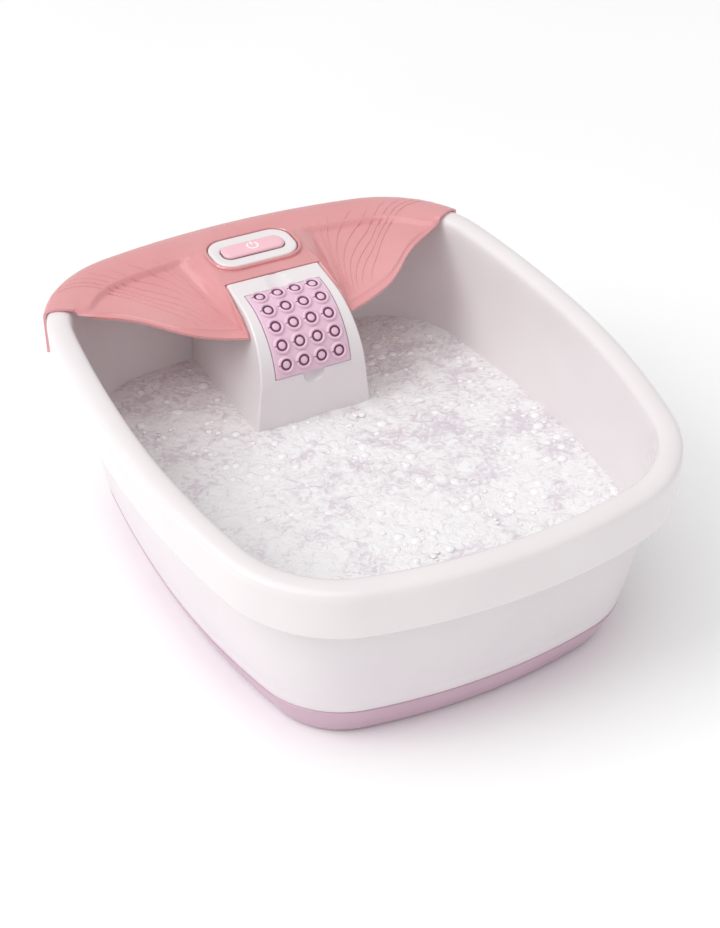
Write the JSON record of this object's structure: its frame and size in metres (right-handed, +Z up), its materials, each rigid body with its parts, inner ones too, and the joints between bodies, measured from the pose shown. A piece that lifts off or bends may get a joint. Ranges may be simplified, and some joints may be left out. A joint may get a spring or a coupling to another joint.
{
  "type": "foot spa basin",
  "caption": "Oblong foot spa tub with a rolled rim, rear splash guard, console with push button and lift-out massage pad, and an air blower for the floor bubble strips.",
  "frame": {"origin": "under the middle of the bounding box, on the surface that the rubber feet stand on", "axes": "+Z up, -Y towards the user (front of the tub), +Y towards the console and splash guard, +X to the user's right"},
  "size_m": [0.35, 0.4137, 0.1721],
  "materials": {
    "tub_white": "glossy injection-moulded ABS, warm white",
    "body_white": "satin-gloss injection-moulded ABS, warm white",
    "base_mauve": "satin moulded polypropylene, mauve",
    "guard_salmon": "translucent salmon-pink moulded styrene, glossy",
    "pad_lilac": "soft-touch moulded elastomer, lilac",
    "bezel_white": "glossy moulded ABS, white",
    "button_pink": "satin moulded ABS, pale pink",
    "strip_lilac": "moulded ABS, pale lilac",
    "spring_steel": "drawn spring wire",
    "shaft_steel": "ground steel rod",
    "lamination_steel": "stacked steel laminations",
    "motor_steel": "zinc-plated drawn steel",
    "screw_steel": "zinc-plated steel",
    "winding_copper": "enamelled copper winding on laminations",
    "bush_brass": "sintered bronze",
    "inner_grey": "moulded polypropylene, grey",
    "inner_ivory": "moulded acetal, ivory",
    "inner_black": "moulded phenolic, black",
    "hose_clear": "extruded silicone hose, milky",
    "board_green": "glass-fibre circuit board with parts",
    "rubber_black": "moulded rubber, black"
  },
  "bodies": {
    "root": {"basin_tub": "tub_white", "outer_body": "body_white", "base_pan": "base_mauve", "splash_guard": "guard_salmon", "switch_bezel": "bezel_white", "button_return_spring": "spring_steel", "switch_bracket": "inner_grey", "switch_body": "inner_black", "bubble_strip_left": "strip_lilac", "bubble_strip_right": "strip_lilac", "floor_seal_left": "rubber_black", "floor_seal_right": "rubber_black", "air_manifold": "inner_grey", "check_valve": "inner_ivory", "air_hose": "hose_clear", "blower_bracket": "inner_grey", "blower_housing": "inner_grey", "blower_cover": "inner_grey", "stator": "winding_copper", "motor_can": "motor_steel", "motor_end_cap": "motor_steel", "upper_bush": "bush_brass", "lower_bush": "bush_brass", "control_board": "board_green", "cord_gland": "rubber_black", "rubber_foot_1": "rubber_black", "rubber_foot_2": "rubber_black", "rubber_foot_3": "rubber_black", "rubber_foot_4": "rubber_black", "base_screw_1": "screw_steel", "base_screw_2": "screw_steel", "base_screw_3": "screw_steel", "base_screw_4": "screw_steel", "base_screw_5": "screw_steel", "base_screw_6": "screw_steel"},
    "button": {"power_button": "button_pink"},
    "plunger": {"switch_plunger": "inner_ivory"},
    "rotor": {"motor_shaft": "shaft_steel", "rotor_core": "lamination_steel", "impeller": "inner_ivory"},
    "pad": {"massage_pad": "pad_lilac"}
  },
  "joints": [
    {"name": "button_press", "type": "slide", "parent": "root", "child": "button", "axis": [0, 0.0753, -0.9972], "range_m": [0, 0.0025], "stiffness_N_per_m": 400, "springref_m": -0.001, "deforming": ["button_return_spring"]},
    {"name": "plunger_press", "type": "slide", "parent": "root", "child": "plunger", "axis": [0, 0.0753, -0.9972], "range_m": [0, 0.0025]},
    {"name": "rotor_spin", "type": "hinge", "parent": "root", "child": "rotor", "pos_m": [0, 0.12, 0.06], "axis": [0, 0, 1], "continuous": true},
    {"name": "pad_lift", "type": "slide", "parent": "root", "child": "pad", "axis": [0, -0.6561, 0.7547], "range_m": [0, 0.04]}
  ],
  "couplings": [
    {"joint": "plunger_press", "follows": "button_press", "ratio": 1}
  ]
}
